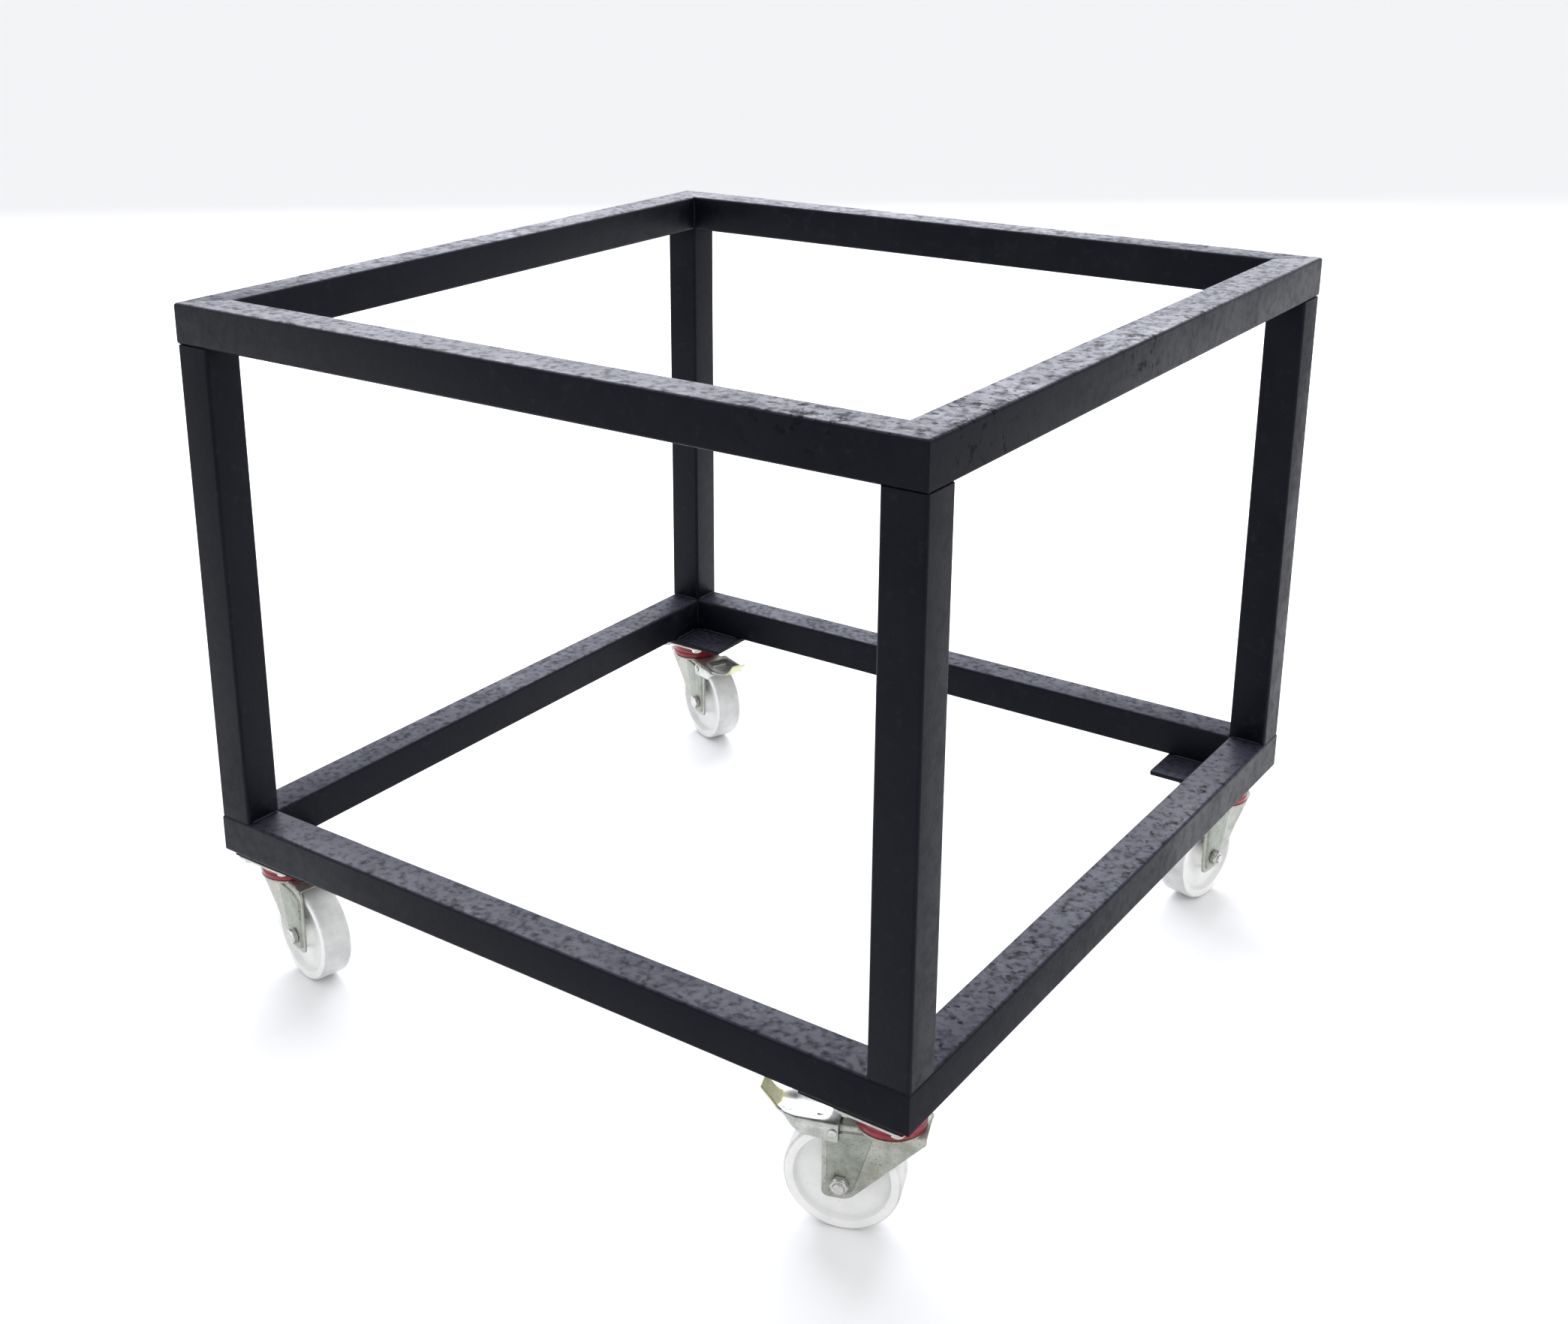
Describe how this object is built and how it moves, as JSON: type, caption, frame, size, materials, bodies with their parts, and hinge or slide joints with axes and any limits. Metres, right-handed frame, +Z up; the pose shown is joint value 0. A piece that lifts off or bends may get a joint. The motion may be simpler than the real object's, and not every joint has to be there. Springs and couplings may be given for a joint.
{
  "type": "engine stand",
  "caption": "Open cube frame of welded square steel tube on swivel castors, which carries an engine or gearbox and rolls it about a workshop.",
  "frame": {"origin": "on the ground, under the middle of the square frame", "axes": "+Z up; +X and +Y along the frame's sides"},
  "size_m": [1, 1.0045, 0.875],
  "materials": {
    "frame_paint": "satin black paint with a slight blue cast and a fine orange peel",
    "zinc_plate": "zinc plated pressed steel",
    "zinc_fork": "zinc plated pressed steel with an olive cast",
    "zinc_pedal": "zinc plated pressed steel, yellow passivated at the toe",
    "steel_fastener": "bright zinc plated steel",
    "red_seal": "crimson moulded plastic",
    "white_nylon": "white moulded nylon"
  },
  "bodies": {
    "frame": {"bottom_rail_front": "frame_paint", "bottom_rail_right": "frame_paint", "bottom_rail_back": "frame_paint", "bottom_rail_left": "frame_paint", "top_rail_front": "frame_paint", "top_rail_right": "frame_paint", "top_rail_back": "frame_paint", "top_rail_left": "frame_paint", "post_front": "frame_paint", "post_left": "frame_paint", "post_back": "frame_paint", "post_right": "frame_paint", "corner_plate_front": "frame_paint", "corner_plate_left": "frame_paint", "corner_plate_back": "frame_paint", "corner_plate_right": "frame_paint", "front_castor_plate": "zinc_plate", "front_king_pin": "steel_fastener", "left_castor_plate": "zinc_plate", "left_king_pin": "steel_fastener", "back_castor_plate": "zinc_plate", "back_king_pin": "steel_fastener", "right_castor_plate": "zinc_plate", "right_king_pin": "steel_fastener"},
    "front_swivel": {"front_ball_ring": "steel_fastener", "front_dust_seal": "red_seal", "front_fork": "zinc_fork", "front_axle_bolt": "steel_fastener", "front_axle_nut": "steel_fastener", "front_axle_bush": "steel_fastener", "front_brake_rivet_a": "steel_fastener", "front_brake_rivet_b": "steel_fastener"},
    "front_wheel_body": {"front_wheel": "white_nylon"},
    "front_brake": {"front_brake_pedal": "zinc_pedal"},
    "left_swivel": {"left_ball_ring": "steel_fastener", "left_dust_seal": "red_seal", "left_fork": "zinc_fork", "left_axle_bolt": "steel_fastener", "left_axle_nut": "steel_fastener", "left_axle_bush": "steel_fastener"},
    "left_wheel_body": {"left_wheel": "white_nylon"},
    "back_swivel": {"back_ball_ring": "steel_fastener", "back_dust_seal": "red_seal", "back_fork": "zinc_fork", "back_axle_bolt": "steel_fastener", "back_axle_nut": "steel_fastener", "back_axle_bush": "steel_fastener", "back_brake_rivet_a": "steel_fastener", "back_brake_rivet_b": "steel_fastener"},
    "back_wheel_body": {"back_wheel": "white_nylon"},
    "back_brake": {"back_brake_pedal": "zinc_pedal"},
    "right_swivel": {"right_ball_ring": "steel_fastener", "right_dust_seal": "red_seal", "right_fork": "zinc_fork", "right_axle_bolt": "steel_fastener", "right_axle_nut": "steel_fastener", "right_axle_bush": "steel_fastener"},
    "right_wheel_body": {"right_wheel": "white_nylon"}
  },
  "joints": [
    {"name": "front_swivel_turn", "type": "hinge", "parent": "frame", "child": "front_swivel", "pos_m": [0.447, -0.441, 0.145], "axis": [0, 0, 1], "continuous": true},
    {"name": "front_wheel_spin", "type": "hinge", "parent": "front_swivel", "child": "front_wheel_body", "pos_m": [0.40283, -0.45708, 0.0625], "axis": [0.342, -0.9397, 0], "continuous": true},
    {"name": "front_brake_press", "type": "hinge", "parent": "front_swivel", "child": "front_brake", "pos_m": [0.39532, -0.45981, 0.124], "axis": [0.342, -0.9397, 0], "range_deg": [0, 8]},
    {"name": "left_swivel_turn", "type": "hinge", "parent": "frame", "child": "left_swivel", "pos_m": [-0.447, -0.441, 0.145], "axis": [0, 0, 1], "continuous": true},
    {"name": "left_wheel_spin", "type": "hinge", "parent": "left_swivel", "child": "left_wheel_body", "pos_m": [-0.4012, -0.45157, 0.0625], "axis": [0.225, 0.9744, 0], "continuous": true},
    {"name": "back_swivel_turn", "type": "hinge", "parent": "frame", "child": "back_swivel", "pos_m": [-0.447, 0.441, 0.145], "axis": [0, 0, 1], "continuous": true},
    {"name": "back_wheel_spin", "type": "hinge", "parent": "back_swivel", "child": "back_wheel_body", "pos_m": [-0.40406, 0.42188, 0.0625], "axis": [0.4067, 0.9135, 0], "continuous": true},
    {"name": "back_brake_press", "type": "hinge", "parent": "back_swivel", "child": "back_brake", "pos_m": [-0.39676, 0.41863, 0.124], "axis": [0.4067, 0.9135, 0], "range_deg": [0, 8]},
    {"name": "right_swivel_turn", "type": "hinge", "parent": "frame", "child": "right_swivel", "pos_m": [0.447, 0.441, 0.145], "axis": [0, 0, 1], "continuous": true},
    {"name": "right_wheel_spin", "type": "hinge", "parent": "right_swivel", "child": "right_wheel_body", "pos_m": [0.43803, 0.39486, 0.0625], "axis": [0.9816, -0.1908, 0], "continuous": true}
  ]
}
